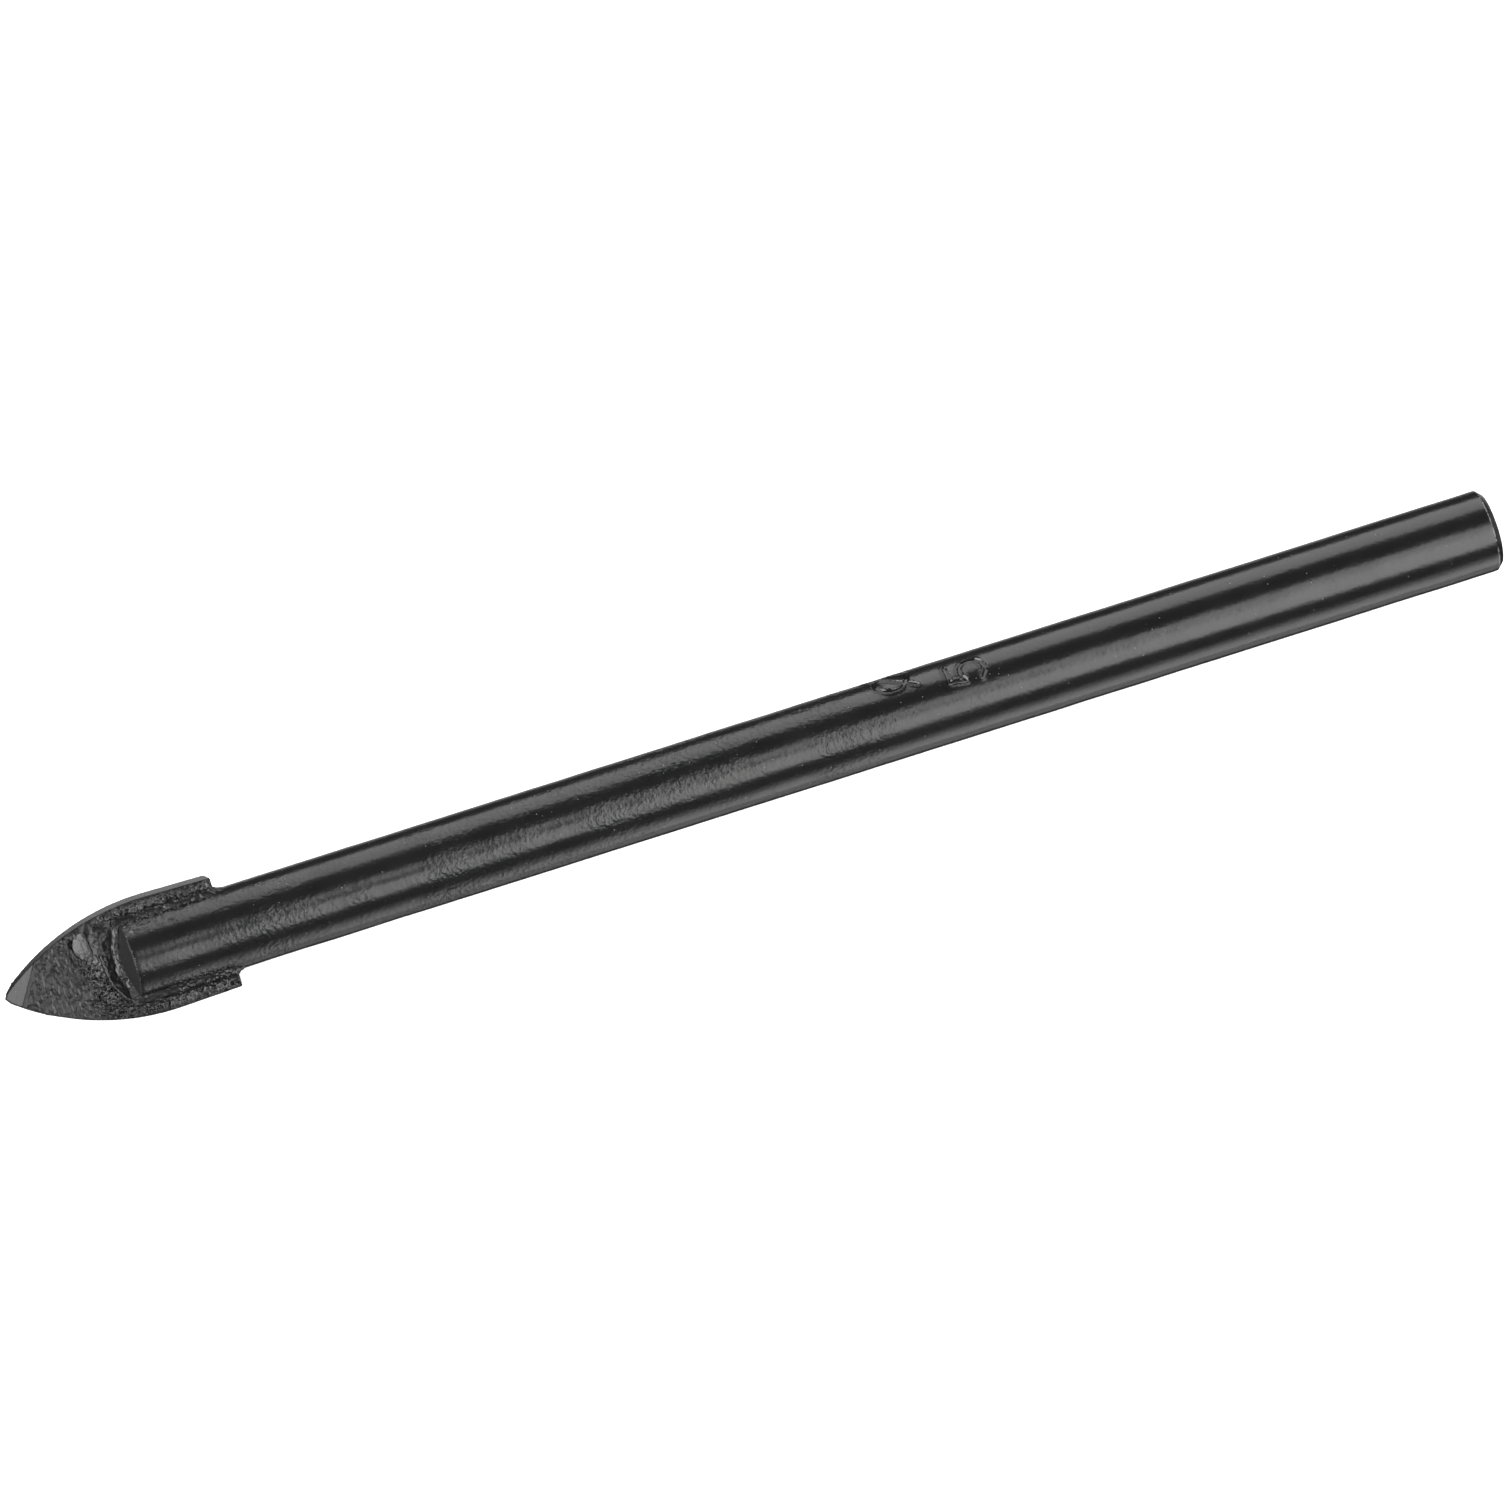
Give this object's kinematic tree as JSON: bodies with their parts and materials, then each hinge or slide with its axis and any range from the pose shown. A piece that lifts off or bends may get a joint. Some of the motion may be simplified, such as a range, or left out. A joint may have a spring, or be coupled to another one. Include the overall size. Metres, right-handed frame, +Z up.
{
  "type": "glass and tile drill bit",
  "caption": "Spear-point drill bit for glass and tile: a flat lancet-shaped carbide plate brazed into the slotted, coned end of a round blackened steel shank.",
  "frame": {"origin": "floor level under the middle of the bit's length, below its axis", "axes": "+X along the bit's axis from the point to the butt, +Z up from the floor that it lies on"},
  "size_m": [0.066, 0.0048, 0.0035],
  "materials": {
    "shank_black": "blackened steel, satin, finely grained",
    "tip_black": "blackened carbide, rough and lumpy with shinier ground edges",
    "braze_black": "blackened braze filler, granular"
  },
  "bodies": {
    "root": {"shank": "shank_black", "carbide_tip": "tip_black", "braze": "braze_black"}
  },
  "joints": []
}
